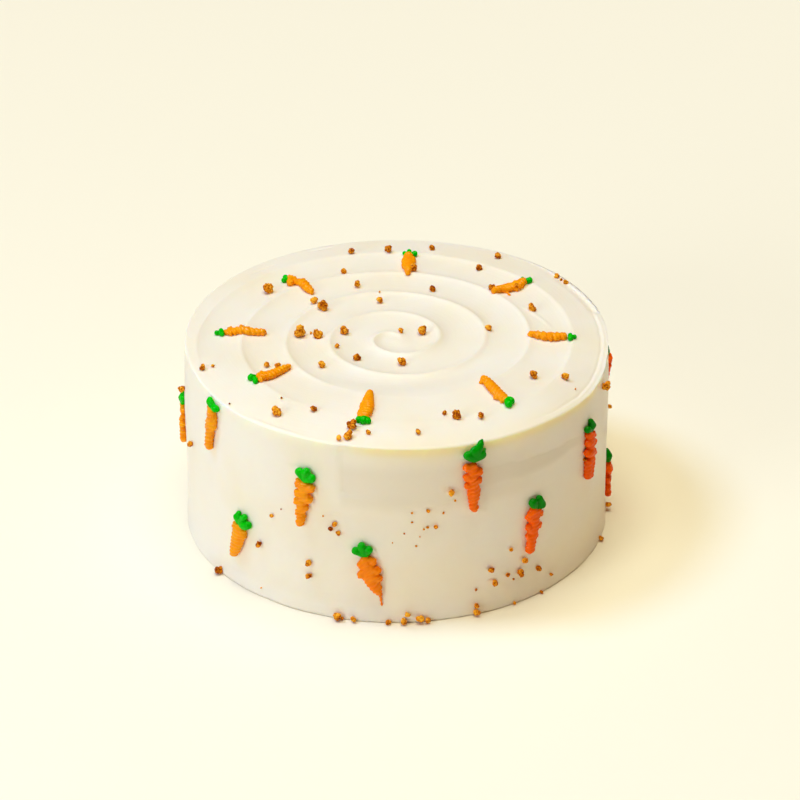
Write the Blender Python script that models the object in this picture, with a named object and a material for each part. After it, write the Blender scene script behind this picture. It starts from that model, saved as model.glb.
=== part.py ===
"""A round, uncut carrot cake under cream cheese icing, decorated with small piped carrots.

Metres, +Z up. The origin is the middle of the cake's flat base, and the front of the cake is towards -Y.
Angles on the cake are in degrees, anticlockwise seen from above, with 0 at +X.

The icing is one solid with the cake: its top carries the swirl that a spatula leaves while the cake
turns, inside a low lip. Each carrot is two solids, a ribbed orange root and a lobed green tuft.
"""

import math

import bmesh
import bpy
from mathutils import Vector
from mathutils.geometry import delaunay_2d_cdt

MM = 0.001

# The iced cake
WALL_RADIUS = 103.5 * MM
TOP_LEVEL = 98.0 * MM  # the crests of the swirl
SHOULDER_RADIUS = 2.5 * MM
AROUND = 72  # facets round the wall
# The icing spreads into a low foot: (height, how far it stands out from the wall).
FOOT = ((0.0, 0.4 * MM), (0.8 * MM, 1.1 * MM), (3.0 * MM, 0.9 * MM), (9.0 * MM, 0.0))
SHOULDER_STEPS = 3

# The spatula swirl: one scalloped groove that winds out from the middle
SWIRL_CENTRE = (0.0, -4.0 * MM)
SWIRL_PITCH = 21.5 * MM
SWIRL_START = 21.0 * MM  # radius of the crest along +X, on its second turn
SWIRL_CORE = 4.0 * MM
SWIRL_DIP = 9.0 * MM  # radius of the flat dip that the spatula's tip leaves in the middle
SWIRL_DIP_SHARE = 0.65  # its depth, as a share of the groove's
SWIRL_REACH = 94.0 * MM
SWIRL_DEPTH_MIDDLE = 2.2 * MM
SWIRL_DEPTH_RIM = 1.2 * MM
SWIRL_LINES = 4  # lines of facets across one pass of the spatula
SWIRL_FACET = 8.5 * MM

# The lip that the wall's icing leaves along the right-hand edge
LIP_HEIGHT = 1.0 * MM
LIP_WIDTH = 2.5 * MM
LIP_MIDDLE_DEG = -5.0
LIP_REACH_DEG = 80.0

# Piped carrots
GAP = 0.3 * MM  # between a carrot and the icing under it
SINK = 4.0 * MM  # how far a carrot is built into the icing before it is cut back
ROOT_ARC = 5  # facets over a root's back
ROOT_RIPPLE = 0.16  # how far the waists between beads draw in
ROOT_TILT = 0.22  # slant of each bead, as piping zigzags
ROOT_TAPER = 0.58
TUFT_AROUND = 16
TUFT_CENTRE = 2.8 * MM

TOP_ROOT = {"width": 8.4 * MM, "thickness": 3.2 * MM, "beads": 5}
TOP_TUFT = {"size": 0.68, "thickness": 2.6 * MM}
SIDE_ROOT = {"width": 11.0 * MM, "thickness": 3.8 * MM, "beads": 5}
SIDE_TUFT = {"size": 1.0, "thickness": 3.4 * MM}
# A tuft's blobs at full size: (to the right, beyond the crown, radius)
TUFT_BLOBS = {
    "clover": (
        (-3.1 * MM, 2.6 * MM, 2.4 * MM),
        (0.3 * MM, 5.4 * MM, 2.7 * MM),
        (3.2 * MM, 2.8 * MM, 2.4 * MM),
    ),
    "pair": (
        (-1.8 * MM, 2.8 * MM, 2.8 * MM),
        (2.4 * MM, 4.6 * MM, 2.8 * MM),
    ),
    "stack": (
        (-0.9 * MM, 2.7 * MM, 3.1 * MM),
        (0.9 * MM, 6.6 * MM, 2.7 * MM),
    ),
    "leaf": (
        (-1.8 * MM, 2.6 * MM, 2.6 * MM),
        (2.2 * MM, 4.0 * MM, 3.0 * MM),
        (6.0 * MM, 6.4 * MM, 1.9 * MM),
    ),
}

# Top carrots point at the middle: (angle, crown's radius, root's length, lean, tuft)
TOP_CARROTS = (
    (85, 82 * MM, 21 * MM, -3, "clover"),
    (134, 78 * MM, 19 * MM, 0, "stack"),
    (180, 83 * MM, 21 * MM, 6, "pair"),
    (214, 79 * MM, 19 * MM, 3, "pair"),
    (260, 83 * MM, 21 * MM, -3, "clover"),
    (308, 82 * MM, 20 * MM, -2, "stack"),
    (358, 82 * MM, 20 * MM, 3, "clover"),
    (41, 82 * MM, 20 * MM, 10, "stack"),
)
# Side carrots hang point down: (angle, crown's height, root's length, lean to the right, tuft)
FRONT_CARROTS = (
    (183, 62 * MM, 21 * MM, 0, "stack"),
    (215, 89 * MM, 23 * MM, -5, "leaf"),
    (225, 34 * MM, 19 * MM, -12, "clover"),
    (246, 72 * MM, 25 * MM, -7, "clover"),
    (262, 35 * MM, 23 * MM, 21, "clover"),
    (290, 84 * MM, 27 * MM, 1, "leaf"),
    (308, 49 * MM, 25 * MM, -7, "clover"),
    (331, 72 * MM, 27 * MM, -3, "pair"),
    (0, 26 * MM, 20 * MM, 0, "stack"),
    (7, 82 * MM, 24 * MM, 3, "clover"),
)
# The rest of the wall repeats the same scatter at an even spacing.
BACK_CARROTS = 9
BACK_FIRST_DEG = 26.0
BACK_STEP_DEG = 17.5
BACK_HEIGHTS = (38 * MM, 85 * MM, 52 * MM, 74 * MM)
BACK_LENGTHS = (22 * MM, 25 * MM, 23 * MM)
BACK_LEANS = (-8, 4, 12, -3, 0)
BACK_TUFTS = ("clover", "pair", "leaf", "clover", "stack")

COLOURS = {
    "cream_icing": (0.94, 0.88, 0.73),
    "orange_icing": (0.90, 0.28, 0.03),
    "green_icing": (0.02, 0.36, 0.03),
}


def clear_scene():
    for thing in list(bpy.data.objects):
        bpy.data.objects.remove(thing)


def material(name, roughness):
    made = bpy.data.materials.new(name)
    made.use_nodes = True
    shader = made.node_tree.nodes["Principled BSDF"]
    shader.inputs["Base Color"].default_value = (*COLOURS[name], 1.0)
    shader.inputs["Roughness"].default_value = roughness
    shader.inputs["Metallic"].default_value = 0.0
    return made


def new_object(name, bm, finish):
    bmesh.ops.recalc_face_normals(bm, faces=bm.faces)
    mesh = bpy.data.meshes.new(name)
    bm.to_mesh(mesh)
    bm.free()
    mesh.materials.append(finish)
    mesh.shade_smooth()
    made = bpy.data.objects.new(name, mesh)
    bpy.context.scene.collection.objects.link(made)
    return made


def smooth_step(value):
    """0 below 0, 1 above 1, and an even curve between."""
    held = max(0.0, min(1.0, value))
    return held * held * (3 - 2 * held)


# The cake's surface


def swirl_depth(x, y):
    """How far the spatula's groove lies below the crests at (x, y)."""
    across, up = x - SWIRL_CENTRE[0], y - SWIRL_CENTRE[1]
    radius = math.hypot(across, up)
    turn = math.atan2(up, across) / math.tau
    phase = ((radius - SWIRL_START) / SWIRL_PITCH - turn) % 1.0
    scallop = 1.0 - (2.0 * phase - 1.0) ** 2
    outside = smooth_step(radius / SWIRL_DIP)
    groove = SWIRL_DIP_SHARE + (scallop - SWIRL_DIP_SHARE) * outside
    share = min(radius / SWIRL_REACH, 1.0)
    depth = SWIRL_DEPTH_MIDDLE + (SWIRL_DEPTH_RIM - SWIRL_DEPTH_MIDDLE) * share
    flat_radius = WALL_RADIUS - SHOULDER_RADIUS
    to_rim = smooth_step((flat_radius - math.hypot(x, y)) / (flat_radius - SWIRL_REACH))
    return depth * groove * to_rim


def lip_height(radius, angle):
    """The lip's height over the crests, at an angle in radians."""
    away = math.remainder(angle - math.radians(LIP_MIDDLE_DEG), math.tau)
    along = smooth_step(1.0 - abs(away) / math.radians(LIP_REACH_DEG))
    inward = WALL_RADIUS - SHOULDER_RADIUS - radius
    return LIP_HEIGHT * along * smooth_step(1.0 - inward / LIP_WIDTH)


def top_level(x, y):
    """The icing's height at (x, y), inside the shoulder."""
    lip = lip_height(math.hypot(x, y), math.atan2(y, x))
    return TOP_LEVEL - swirl_depth(x, y) + lip


def foot_flare(height):
    """How far the foot stands out from the wall at this height."""
    for (low, inner), (high, outer) in zip(FOOT, FOOT[1:]):
        if height <= high:
            return inner + (outer - inner) * max(height - low, 0.0) / (high - low)
    return 0.0


def swirl_line(phase):
    """Points along the line a share of a pitch outside the swirl's crest, with None past its reach."""
    turn = (SWIRL_CORE - SWIRL_START) / SWIRL_PITCH - phase
    radius = SWIRL_CORE
    points = []
    while radius < SWIRL_REACH - SWIRL_CENTRE[1]:
        angle = turn * math.tau
        x = SWIRL_CENTRE[0] + radius * math.cos(angle)
        y = SWIRL_CENTRE[1] + radius * math.sin(angle)
        points.append((x, y) if math.hypot(x, y) < SWIRL_REACH else None)
        turn += min(SWIRL_FACET / radius, math.radians(40)) / math.tau
        radius = SWIRL_START + SWIRL_PITCH * (phase + turn)
    return points


def circle(radius):
    steps = (math.tau * i / AROUND for i in range(AROUND))
    return [(radius * math.cos(a), radius * math.sin(a)) for a in steps]


def top_facets():
    """The top's points and triangles in plan. Its first points are the ring where the shoulder starts."""
    flat_radius = WALL_RADIUS - SHOULDER_RADIUS
    points = circle(flat_radius)
    edges = [(i, (i + 1) % AROUND) for i in range(AROUND)]
    points.append(SWIRL_CENTRE)
    for line in range(SWIRL_LINES):
        joined = False
        for point in swirl_line(line / SWIRL_LINES):
            if point is None:
                joined = False
                continue
            if joined:
                edges.append((len(points) - 1, len(points)))
            points.append(point)
            joined = True
    made = delaunay_2d_cdt([Vector(p) for p in points], edges, [], 0, 1e-7)
    return made[0], made[2]


def cake_object(finish):
    bm = bmesh.new()
    plan, faces = top_facets()
    top = [bm.verts.new((p.x, p.y, top_level(p.x, p.y))) for p in plan]
    for face in faces:
        bm.faces.new([top[i] for i in face])
    upper = top[:AROUND]
    rings = []
    for step in range(1, SHOULDER_STEPS + 1):
        angle = math.pi / 2 * step / SHOULDER_STEPS
        inward = SHOULDER_RADIUS * (1.0 - math.sin(angle))
        drop = SHOULDER_RADIUS * (1.0 - math.cos(angle))
        fade = math.cos(angle)
        rings.append((WALL_RADIUS - inward, TOP_LEVEL - drop, fade))
    for height, flare in reversed(FOOT):
        rings.append((WALL_RADIUS + flare, height, 0.0))
    for radius, height, lip in rings:
        lower = []
        for x, y in circle(radius):
            raised = lip * lip_height(WALL_RADIUS, math.atan2(y, x))
            lower.append(bm.verts.new((x, y, height + raised)))
        for i in range(AROUND):
            after = (i + 1) % AROUND
            bm.faces.new((upper[i], lower[i], lower[after], upper[after]))
        upper = lower
    bm.faces.new(upper)
    return new_object("cake", bm, finish)


def icing_cutter(cake):
    """The cake grown by the gap, to cut the carrots' undersides to the icing."""
    cutter = bpy.data.objects.new("icing_cutter", cake.data.copy())
    grown = 1.0 + GAP / WALL_RADIUS
    cutter.scale = (grown, grown, 1.0)
    cutter.location.z = GAP
    cutter.hide_render = True
    cutter.display_type = "WIRE"
    bpy.context.scene.collection.objects.link(cutter)
    return cutter


# Where a carrot's own (across, along, out) lies on the cake. Along runs from the crown to the tip.


def on_wall(angle_deg, crown_height, lean_deg):
    lean = math.radians(lean_deg)

    def place(across, along, out):
        right = across * math.cos(lean) + along * math.sin(lean)
        height = crown_height - along * math.cos(lean) + across * math.sin(lean)
        angle = math.radians(angle_deg) + right / WALL_RADIUS
        over = height - (TOP_LEVEL - SHOULDER_RADIUS)
        if over > 0:  # the icing bends over the shoulder
            bend = min(over / SHOULDER_RADIUS, math.pi / 2)
            reach = SHOULDER_RADIUS + out
            radius = WALL_RADIUS - SHOULDER_RADIUS + reach * math.cos(bend)
            height = TOP_LEVEL - SHOULDER_RADIUS + reach * math.sin(bend)
        else:
            radius = WALL_RADIUS + foot_flare(height) + out
        return (radius * math.cos(angle), radius * math.sin(angle), height)

    return place


def on_top(angle_deg, crown_radius, lean_deg):
    """Its height follows the icing under it, evened out as a stiff bead of piping is."""
    outward = math.radians(angle_deg)
    inward = outward + math.pi + math.radians(lean_deg)
    crown = (crown_radius * math.cos(outward), crown_radius * math.sin(outward))

    def place(across, along, out):
        x = crown[0] + along * math.cos(inward) - across * math.sin(inward)
        y = crown[1] + along * math.sin(inward) + across * math.cos(inward)
        around = [(0.0, 0.0)] + [
            (0.6 * SINK * math.cos(a), 0.6 * SINK * math.sin(a))
            for a in (math.tau * i / 6 for i in range(6))
        ]
        level = sum(top_level(x + dx, y + dy) for dx, dy in around) / len(around)
        return (x, y, level + out)

    return place


# Piped pieces


def root_object(name, place, length, look, finish):
    """A row of slanting beads that tapers to the tip, with a section at each bead and each waist."""
    bm = bmesh.new()
    sections = []
    count = 2 * look["beads"] + 1
    for i in range(count):
        share = (i + 0.4) / (count - 0.2)
        ends = math.sqrt(1.0 - abs(2.0 * share - 1.0) ** 8)
        waist = 1.0 - ROOT_RIPPLE * (i % 2 == 0)
        taper = 1.0 - ROOT_TAPER * share**1.4
        half = 0.5 * look["width"] * taper * ends * waist
        rise = look["thickness"] * (1.0 - 0.3 * share) * ends**0.5 * waist
        tilt = ROOT_TILT * (i % 2) * (1 if i % 4 == 1 else -1)
        section = []
        for j in range(ROOT_ARC + 1):
            angle = math.pi * j / ROOT_ARC
            across = half * math.cos(angle)
            out = rise * math.sin(angle) if 0 < j < ROOT_ARC else -SINK
            along = length * share + tilt * across
            section.append(bm.verts.new(place(across, along, out)))
        sections.append(section)
    for near, far in zip(sections, sections[1:]):
        for j in range(ROOT_ARC + 1):
            after = (j + 1) % (ROOT_ARC + 1)
            bm.faces.new((near[j], near[after], far[after], far[j]))
    bm.faces.new(sections[0])
    bm.faces.new(reversed(sections[-1]))
    return new_object(name, bm, finish)


def tuft_outline(blobs):
    """Points round a tuft's blobs, each the furthest that a ray from its middle reaches in any blob."""
    outline = []
    for i in range(TUFT_AROUND):
        angle = math.tau * i / TUFT_AROUND
        ray = (math.cos(angle), math.sin(angle))
        reach = 0.5 * TUFT_CENTRE
        for across, beyond, radius in blobs:
            off = (across, beyond - TUFT_CENTRE)
            along_ray = off[0] * ray[0] + off[1] * ray[1]
            inside = radius**2 - off[0] ** 2 - off[1] ** 2 + along_ray**2
            if inside > 0:
                reach = max(reach, along_ray + math.sqrt(inside))
        outline.append((reach * ray[0], TUFT_CENTRE + reach * ray[1]))
    return outline


def tuft_object(name, place, blobs, look, finish):
    """A low dome over the blobs' outline, kept clear of the root's crown."""
    bm = bmesh.new()
    size, thickness = look["size"], look["thickness"]
    rings = []
    for share, out in ((1.0, -SINK), (0.95, 0.45 * thickness), (0.62, 0.9 * thickness)):
        ring = []
        for across, beyond in tuft_outline(blobs):
            away = size * (TUFT_CENTRE + share * (beyond - TUFT_CENTRE))
            ring.append(bm.verts.new(place(size * share * across, -max(away, GAP), out)))
        rings.append(ring)
    for lower, upper in zip(rings, rings[1:]):
        for i in range(TUFT_AROUND):
            after = (i + 1) % TUFT_AROUND
            bm.faces.new((lower[i], lower[after], upper[after], upper[i]))
    for ring, out in ((rings[0], -SINK), (rings[-1], thickness)):
        centre = bm.verts.new(place(0.0, -size * TUFT_CENTRE, out))
        for i in range(TUFT_AROUND):
            bm.faces.new((ring[i], ring[(i + 1) % TUFT_AROUND], centre))
    return new_object(name, bm, finish)


def cut_back(piece, cutter):
    cut = piece.modifiers.new("underside", "BOOLEAN")
    cut.operation = "DIFFERENCE"
    cut.object = cutter


def side_carrots():
    """All the carrots on the wall, the front ones first."""
    placed = list(FRONT_CARROTS)
    for i in range(BACK_CARROTS):
        angle = BACK_FIRST_DEG + BACK_STEP_DEG * i
        height = BACK_HEIGHTS[i % len(BACK_HEIGHTS)]
        length = BACK_LENGTHS[i % len(BACK_LENGTHS)]
        lean = BACK_LEANS[i % len(BACK_LEANS)]
        placed.append((angle, height, length, lean, BACK_TUFTS[i % len(BACK_TUFTS)]))
    return placed


def main():
    clear_scene()
    cutter = icing_cutter(cake_object(material("cream_icing", 0.45)))
    orange = material("orange_icing", 0.3)
    green = material("green_icing", 0.25)

    def carrot(name, place, length, tuft, root_look, tuft_look):
        cut_back(root_object(name + "_root", place, length, root_look, orange), cutter)
        cut_back(tuft_object(name + "_tuft", place, TUFT_BLOBS[tuft], tuft_look, green), cutter)

    for number, (angle, radius, length, lean, tuft) in enumerate(TOP_CARROTS, 1):
        place = on_top(angle, radius, lean)
        carrot(f"top_carrot_{number}", place, length, tuft, TOP_ROOT, TOP_TUFT)
    for number, (angle, height, length, lean, tuft) in enumerate(side_carrots(), 1):
        place = on_wall(angle, height, lean)
        carrot(f"side_carrot_{number:02d}", place, length, tuft, SIDE_ROOT, SIDE_TUFT)


main()
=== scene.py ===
import math
import random

import bmesh
import bpy
from mathutils import Matrix, Vector, noise
from mathutils.bvhtree import BVHTree


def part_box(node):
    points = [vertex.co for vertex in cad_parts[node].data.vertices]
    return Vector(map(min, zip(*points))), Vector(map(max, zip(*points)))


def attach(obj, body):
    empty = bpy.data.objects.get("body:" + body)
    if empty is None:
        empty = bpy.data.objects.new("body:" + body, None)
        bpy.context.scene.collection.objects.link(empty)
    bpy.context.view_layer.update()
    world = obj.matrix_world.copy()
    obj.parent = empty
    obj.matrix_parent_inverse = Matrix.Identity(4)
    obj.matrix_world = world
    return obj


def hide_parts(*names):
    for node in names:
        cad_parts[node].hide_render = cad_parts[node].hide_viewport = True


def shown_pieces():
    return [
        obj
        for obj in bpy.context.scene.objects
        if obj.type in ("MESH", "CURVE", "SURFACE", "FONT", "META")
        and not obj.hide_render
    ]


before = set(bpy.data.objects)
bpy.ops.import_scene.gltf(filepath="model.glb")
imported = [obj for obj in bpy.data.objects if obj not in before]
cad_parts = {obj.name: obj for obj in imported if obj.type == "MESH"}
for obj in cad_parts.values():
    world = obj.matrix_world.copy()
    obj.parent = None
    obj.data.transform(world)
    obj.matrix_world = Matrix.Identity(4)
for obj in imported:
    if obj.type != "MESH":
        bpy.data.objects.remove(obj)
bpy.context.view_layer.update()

mm = 0.001
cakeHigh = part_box("cake")[1]


def ease(value):
    held = max(0.0, min(1.0, value))
    return held * held * (3 - 2 * held)


def ripple(place, scale):
    # smooth noise from -1 to 1, with lumps of about this scale; another third coordinate, another pattern
    return noise.noise(Vector(place) / scale)


def rippleRound(angle, lumps, pattern=0):
    # the same along a circle, with about this many lumps to a radian
    return ripple((lumps * math.cos(angle), lumps * math.sin(angle), pattern), 1.0)


def angleBetween(angle, degrees):
    # degrees from this direction to the angle, which is in radians
    return math.degrees(math.remainder(angle - math.radians(degrees), math.tau))


def shareRound(angle, start, end):
    # how far round from start to end, both in degrees, the angle lies: 0 to 1, and past 1 outside
    return (angleBetween(angle, start) % 360) / (end - start)


# materials

def hexColour(code):
    # sRGB hex to the linear colour that Blender's sockets take
    parts = [int(code[i:i + 2], 16) / 255 for i in (1, 3, 5)]
    return (*[p / 12.92 if p <= 0.04045 else ((p + 0.055) / 1.055) ** 2.4 for p in parts], 1.0)


def addNode(tree, kind, settings=None, links=None):
    node = tree.nodes.new(kind)
    for name, value in (settings or {}).items():
        if hasattr(node, str(name)):
            setattr(node, name, value)
        else:
            node.inputs[name].default_value = value
    for name, source in (links or {}).items():
        tree.links.new(source, node.inputs[name])
    return node


def newMaterial(name):
    material = bpy.data.materials.new(name)
    material.use_nodes = True
    tree = material.node_tree
    return material, tree, tree.nodes["Principled BSDF"]


def addNoise(tree, place, size, detail):
    node = addNode(tree, "ShaderNodeTexNoise", {"Scale": 1 / size, "Detail": detail}, {"Vector": place})
    return node.outputs["Fac"]


def addBump(tree, depth, links, strength=1.0):
    node = addNode(tree, "ShaderNodeBump", {"Distance": depth, "Strength": strength}, links)
    return node.outputs["Normal"]


def addRamp(tree, factor, stops):
    node = addNode(tree, "ShaderNodeValToRGB", links={"Fac": factor})
    ramp = node.color_ramp
    while len(ramp.elements) < len(stops):
        ramp.elements.new(0.5)
    for element, (position, colour) in zip(ramp.elements, stops):
        element.position = position
        element.color = hexColour(colour)
    return node.outputs["Color"]


def addTint(tree, attribute, tint, colour):
    # blends the colour into the tint by the mesh's attribute
    share = addNode(tree, "ShaderNodeAttribute", {"attribute_name": attribute}).outputs["Fac"]
    node = addNode(tree, "ShaderNodeMixRGB", {"Color2": hexColour(tint)}, {"Fac": share, "Color1": colour})
    return node.outputs["Color"]


def addVector(tree, operation, settings, links):
    return addNode(tree, "ShaderNodeVectorMath", {"operation": operation, **settings}, links)


# Cream cheese icing: butter and soft cheese whipped with sugar, spread with a steel spatula.
# Fat scatters light, so shadows glow, and the spatula leaves a satin skin with faint drag lines. Under the
# edge it is painted yellower, as painted light, and it is painted darker and duller past the lap and on the
# smear, there as painted shade.
creamIcing = {
    "cream": "#FBF1DF",
    "butter": "#FAEDD3",
    # the next colour is painted light: a yellow glow painted under the edge and along the rim
    "lit": "#FFE7B0",
    # the next colour paints the wall darker and duller past the lap, and paints shade on the smear's band
    "dull": "#E9DEC6",
    "cloudSize": 34 * mm,
    "dragLines": 1.6 * mm,
    "dragDepth": 0.05 * mm,
    "dragStretch": (0.06, 0.06, 1.0),
    "dragStray": 0.05,
    "grain": 1.1 * mm,
    "grainDepth": 0.018 * mm,
    "roughness": 0.42,
    # how much light soaks in and how far it goes, on the flat and just under the edge
    "scatter": (0.3, 1.0),
    "scatterReach": (5 * mm, 10 * mm),
}


def makeCreamIcing():
    look = creamIcing
    material, tree, shader = newMaterial("creamCheeseIcing")
    place = addNode(tree, "ShaderNodeTexCoord").outputs["Object"]
    clouds = addNoise(tree, place, look["cloudSize"], 3.0)
    colour = addRamp(tree, clouds, [(0.38, look["cream"]), (0.72, look["butter"])])
    # the wall painted darker and duller past the lap, and painted shade on the smear's band
    colour = addTint(tree, "thin", look["dull"], colour)
    # painted light: a yellow glow painted under the edge, strongest at the front-right, and along the rim
    colour = addTint(tree, "litEdge", look["lit"], colour)
    tree.links.new(colour, shader.inputs["Base Color"])
    # drag lines run level round the wall, so the noise is drawn out sideways
    level = addNode(tree, "ShaderNodeMapping", {"Scale": look["dragStretch"]}, {"Vector": place})
    wallLines = addNoise(tree, level.outputs["Vector"], look["dragLines"], 2.0)
    # and on top they circle the middle, straying a little
    flat = addVector(tree, "MULTIPLY", {1: (1.0, 1.0, 0.0)}, {0: place}).outputs["Vector"]
    reach = addVector(tree, "LENGTH", {}, {0: flat}).outputs["Value"]
    ring = addNode(tree, "ShaderNodeCombineXYZ", links={"X": reach}).outputs["Vector"]
    stray = addVector(tree, "SCALE", {"Scale": look["dragStray"]}, {0: flat}).outputs["Vector"]
    rings = addVector(tree, "ADD", {}, {0: ring, 1: stray}).outputs["Vector"]
    topLines = addNoise(tree, rings, look["dragLines"], 2.0)
    facing = addNode(tree, "ShaderNodeNewGeometry").outputs["Normal"]
    upward = addNode(tree, "ShaderNodeSeparateXYZ", links={"Vector": facing}).outputs["Z"]
    lines = addNode(tree, "ShaderNodeMix", links={"Factor": upward, 2: wallLines, 3: topLines}).outputs[0]
    drag = addBump(tree, look["dragDepth"], {"Height": lines})
    grain = addNoise(tree, place, look["grain"], 4.0)
    fine = addBump(tree, look["grainDepth"], {"Height": grain, "Normal": drag})
    tree.links.new(fine, shader.inputs["Normal"])
    # light goes deeper just under the edge
    nearEdge = addNode(tree, "ShaderNodeAttribute", {"attribute_name": "nearEdge"}).outputs["Fac"]
    for socket, (low, high) in (("Weight", look["scatter"]), ("Scale", look["scatterReach"])):
        glow = addNode(tree, "ShaderNodeMapRange", {"To Min": low, "To Max": high}, {"Value": nearEdge})
        tree.links.new(glow.outputs["Result"], shader.inputs["Subsurface " + socket])
    shader.inputs["Roughness"].default_value = look["roughness"]
    shader.inputs["IOR"].default_value = 1.45
    shader.inputs["Specular IOR Level"].default_value = 0.35
    shader.inputs["Subsurface Radius"].default_value = (1.0, 0.72, 0.36)
    return material


# Coloured piping icing: the same icing stained with food gel, which leaves it wet, so it glints. As its
# attribute nears 1 the colour is deeper: painted shade on the front's carrots, deeper towards the shaded
# right; on the back's, one batch deeper than the next.
def makePipingIcing(name, look):
    material, tree, shader = newMaterial(name)
    place = addNode(tree, "ShaderNodeTexCoord").outputs["Object"]
    streaks = addNoise(tree, place, look["streaks"], 3.0)
    colour = addRamp(tree, streaks, [(0.3, look["deep"]), (0.7, look["bright"])])
    # deeper colour: painted shade on the front's carrots, deeper to the right; on the back's it varies by
    # batch
    colour = addTint(tree, "stain", look["stained"], colour)
    tree.links.new(colour, shader.inputs["Base Color"])
    grain = addNoise(tree, place, look["grain"], 2.0)
    bump = addBump(tree, look["grainDepth"], {"Height": grain})
    tree.links.new(bump, shader.inputs["Normal"])
    shader.inputs["Roughness"].default_value = look["roughness"]
    shader.inputs["IOR"].default_value = 1.45
    shader.inputs["Specular IOR Level"].default_value = look["specular"]
    shader.inputs["Subsurface Weight"].default_value = look["scatter"]
    shader.inputs["Subsurface Radius"].default_value = look["scatterColour"]
    shader.inputs["Subsurface Scale"].default_value = 1.0 * mm
    shader.inputs["Coat Weight"].default_value = look["wet"]
    shader.inputs["Coat Roughness"].default_value = 0.06
    return material


orangeIcing = {
    "bright": "#FFA808",
    # the deepest colour is painted shade on the front's carrots at the right, and a batch's tone at the back
    "deep": "#FF9202",
    "stained": "#FF6000",
    "streaks": 4 * mm,
    "grain": 0.9 * mm,
    "grainDepth": 0.07 * mm,
    "roughness": 0.4,
    "specular": 0.06,
    "scatter": 0.1,
    "scatterColour": (1.0, 0.3, 0.02),
    "wet": 0.2,
}
greenIcing = {
    "bright": "#02CC06",
    "deep": "#00AE02",
    # the deepest colour is painted shade on the front's carrots at the right, and a batch's tone at the back
    "stained": "#008404",
    "streaks": 3 * mm,
    "grain": 1.2 * mm,
    "grainDepth": 0.05 * mm,
    "roughness": 0.34,
    "specular": 0.05,
    "scatter": 0.05,
    "scatterColour": (0.1, 1.0, 0.1),
    "wet": 0.15,
}

# Carrot cake crumb: baked sponge torn small, moist with oil, so it shines a little, paler where it broke.
spongeCrumb = {
    "crust": "#8C3400",
    "crumb": "#DE8006",
    "torn": "#FFB830",
    "toneSize": 7 * mm,
    "poreSize": 0.9 * mm,
    "poreDepth": 0.3 * mm,
    "poreShare": 0.55,
}


def makeSpongeCrumb():
    look = spongeCrumb
    material, tree, shader = newMaterial("carrotCakeCrumb")
    place = addNode(tree, "ShaderNodeTexCoord").outputs["Object"]
    each = addNoise(tree, place, look["toneSize"], 1.0)
    pores = addNoise(tree, place, look["poreSize"], 3.0)
    blend = addNode(tree, "ShaderNodeMix", {"Factor": look["poreShare"]}, {2: each, 3: pores}).outputs[0]
    colour = addRamp(tree, blend, [(0.39, look["crust"]), (0.5, look["crumb"]), (0.6, look["torn"])])
    tree.links.new(colour, shader.inputs["Base Color"])
    bump = addBump(tree, look["poreDepth"], {"Height": pores}, 0.8)
    tree.links.new(bump, shader.inputs["Normal"])
    shader.inputs["Roughness"].default_value = 0.45
    shader.inputs["Specular IOR Level"].default_value = 0.06
    shader.inputs["Subsurface Weight"].default_value = 0.1
    shader.inputs["Subsurface Radius"].default_value = (1.0, 0.4, 0.1)
    shader.inputs["Subsurface Scale"].default_value = 0.6 * mm
    return material


creamMaterial = makeCreamIcing()
orangeMaterial = makePipingIcing("orangePipingIcing", orangeIcing)
greenMaterial = makePipingIcing("greenPipingIcing", greenIcing)
crumbMaterial = makeSpongeCrumb()
print("materials made")


def pieceFrom(bm, name, material, nodes=()):
    mesh = bpy.data.meshes.new(name)
    bm.to_mesh(mesh)
    bm.free()
    mesh.materials.append(material)
    mesh.shade_smooth()
    piece = bpy.data.objects.new(name, mesh)
    bpy.context.scene.collection.objects.link(piece)
    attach(piece, "root")
    if nodes:
        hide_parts(*nodes)
    return piece


def remeshed(bm, voxel):
    # one skin over overlapping blobs, as a new bmesh
    mesh = bpy.data.meshes.new("blobs")
    bm.to_mesh(mesh)
    bm.free()
    blobs = bpy.data.objects.new("blobs", mesh)
    bpy.context.scene.collection.objects.link(blobs)
    skin = blobs.modifiers.new("skin", "REMESH")
    skin.mode = "VOXEL"
    skin.voxel_size = voxel
    evaluated = blobs.evaluated_get(bpy.context.evaluated_depsgraph_get())
    result = bmesh.new()
    result.from_mesh(evaluated.to_mesh())
    evaluated.to_mesh_clear()
    bpy.data.objects.remove(blobs)
    bpy.data.meshes.remove(mesh)
    return result


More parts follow.
